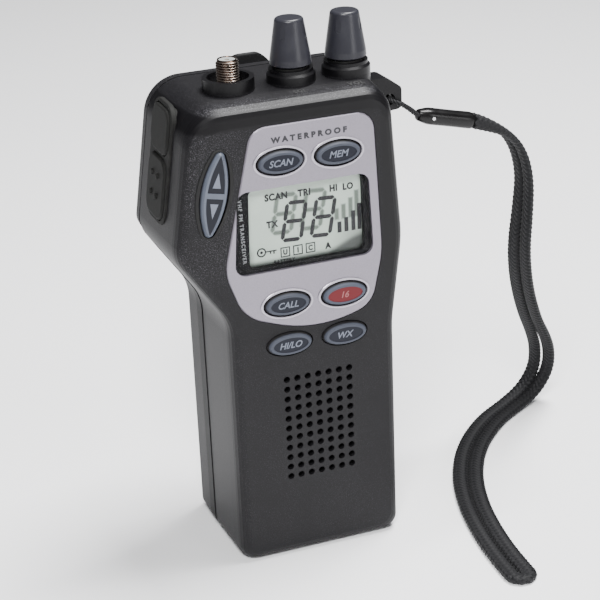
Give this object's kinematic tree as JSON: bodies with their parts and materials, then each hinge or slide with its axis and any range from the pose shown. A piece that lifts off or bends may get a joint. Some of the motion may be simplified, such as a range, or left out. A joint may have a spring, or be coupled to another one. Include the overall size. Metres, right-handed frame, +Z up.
{
  "type": "handheld vhf radio",
  "caption": "Handheld two-way VHF radio with display, oval keys, two top knobs, side push-to-talk pads, slide-off battery, belt clip and wrist strap.",
  "frame": {"origin": "middle of the handle's flat foot, on the surface that the radio stands on", "axes": "+Z up along the case and the antenna post, +X to the right seen from the front, the front faces -Y"},
  "size_m": [0.144, 0.1051, 0.1558],
  "materials": {
    "case": "near-black moulded plastic with a fine grey speckled grain",
    "plate": "silver-lilac metallic satin",
    "lens": "clear hard-coated window",
    "mask": "black print under the window",
    "lcd": "grey-green reflective display",
    "key_blue": "grey-blue rubbery key",
    "key_red": "dull red key",
    "rubber": "black moulded rubber",
    "knob": "dark blue-grey satin plastic",
    "steel": "machined steel",
    "nickel": "nickel over brass, worn at the thread",
    "ptfe": "white fluoropolymer",
    "gold": "gold flash",
    "board": "green glass-fibre board",
    "tin": "tinned sheet",
    "speaker": "black paper and frame",
    "cloth": "fine woven mesh",
    "cell": "shrink-sleeved cells",
    "chassis": "black moulded plastic",
    "strap": "black braided nylon",
    "sleeve": "black moulded sleeve"
  },
  "bodies": {
    "housing": {"front_housing": "case", "rear_housing": "case", "case_gasket": "rubber", "case_screws": "steel", "face_plate": "plate", "display_lens": "lens", "display_mask": "mask", "lcd_panel": "lcd", "lcd_backlight": "ptfe", "rocker_gasket": "rubber", "side_bezel": "rubber", "side_switches": "steel", "side_board": "board", "squelch_control": "tin", "volume_control": "tin", "squelch_seal": "rubber", "volume_seal": "rubber", "antenna_connector": "nickel", "antenna_insulator": "ptfe", "antenna_contact": "gold", "antenna_washer": "tin", "keypad_mat": "rubber", "main_board": "board", "rf_shield": "tin", "speaker_frame": "speaker", "speaker_cone": "speaker", "grille_cloth": "cloth", "microphone": "tin", "board_screws": "steel", "chassis_plate": "chassis", "battery_terminals": "gold", "clip_base": "chassis", "clip_pin": "steel", "clip_spring": "steel", "strap_cord": "strap", "strap_sleeve": "sleeve", "strap_rivet": "steel", "wrist_strap": "strap"},
    "battery": {"battery_case": "case", "battery_lid": "chassis", "battery_contacts": "gold", "battery_cells": "cell", "charge_contacts": "gold"},
    "squelch": {"squelch_knob": "knob", "squelch_shaft": "steel"},
    "volume": {"volume_knob": "knob", "volume_shaft": "steel"},
    "rocker": {"channel_rocker": "key_blue"},
    "ptt": {"ptt_button": "rubber"},
    "side_key": {"side_button": "rubber"},
    "clip": {"belt_clip": "chassis"},
    "scan_key_body": {"scan_key": "key_blue"},
    "memory_key_body": {"memory_key": "key_blue"},
    "call_key_body": {"call_key": "key_blue"},
    "channel_16_key_body": {"channel_16_key": "key_red"},
    "power_level_key_body": {"power_level_key": "key_blue"},
    "weather_key_body": {"weather_key": "key_blue"}
  },
  "joints": [
    {"name": "scan_key_press", "type": "slide", "parent": "housing", "child": "scan_key_body", "axis": [0, 1, 0], "range_m": [0, 0.0007], "stiffness_N_per_m": 900, "springref_m": -0.0004},
    {"name": "memory_key_press", "type": "slide", "parent": "housing", "child": "memory_key_body", "axis": [0, 1, 0], "range_m": [0, 0.0007], "stiffness_N_per_m": 900, "springref_m": -0.0004},
    {"name": "call_key_press", "type": "slide", "parent": "housing", "child": "call_key_body", "axis": [0, 1, 0], "range_m": [0, 0.0007], "stiffness_N_per_m": 900, "springref_m": -0.0004},
    {"name": "channel_16_key_press", "type": "slide", "parent": "housing", "child": "channel_16_key_body", "axis": [0, 1, 0], "range_m": [0, 0.0007], "stiffness_N_per_m": 900, "springref_m": -0.0004},
    {"name": "power_level_key_press", "type": "slide", "parent": "housing", "child": "power_level_key_body", "axis": [0, 1, 0], "range_m": [0, 0.0007], "stiffness_N_per_m": 900, "springref_m": -0.0004},
    {"name": "weather_key_press", "type": "slide", "parent": "housing", "child": "weather_key_body", "axis": [0, 1, 0], "range_m": [0, 0.0007], "stiffness_N_per_m": 900, "springref_m": -0.0004},
    {"name": "rocker_tilt", "type": "hinge", "parent": "housing", "child": "rocker", "pos_m": [-0.027, -0.016, 0.1146], "axis": [0.9789, 0, -0.2045], "range_deg": [-3, 3], "stiffness_Nm_per_rad": 0.15},
    {"name": "ptt_press", "type": "slide", "parent": "housing", "child": "ptt", "axis": [0.989, 0, -0.1478], "range_m": [0, 0.0009], "stiffness_N_per_m": 1500, "springref_m": -0.0005},
    {"name": "side_key_press", "type": "slide", "parent": "housing", "child": "side_key", "axis": [0.989, 0, -0.1478], "range_m": [0, 0.0009], "stiffness_N_per_m": 1200, "springref_m": -0.0005},
    {"name": "squelch_turn", "type": "hinge", "parent": "housing", "child": "squelch", "pos_m": [0.0014, -0.0023, 0.143], "axis": [0, 0, -1], "range_deg": [0, 300]},
    {"name": "volume_turn", "type": "hinge", "parent": "housing", "child": "volume", "pos_m": [0.0175, -0.0023, 0.143], "axis": [0, 0, -1], "range_deg": [0, 300]},
    {"name": "battery_slide", "type": "slide", "parent": "housing", "child": "battery", "axis": [0, 0, -1], "range_m": [0, 0.1]},
    {"name": "clip_open", "type": "hinge", "parent": "housing", "child": "clip", "pos_m": [0, 0.0296, 0.122], "axis": [1, 0, 0], "range_deg": [0, 18], "stiffness_Nm_per_rad": 0.25, "springref_deg": -14.32}
  ]
}
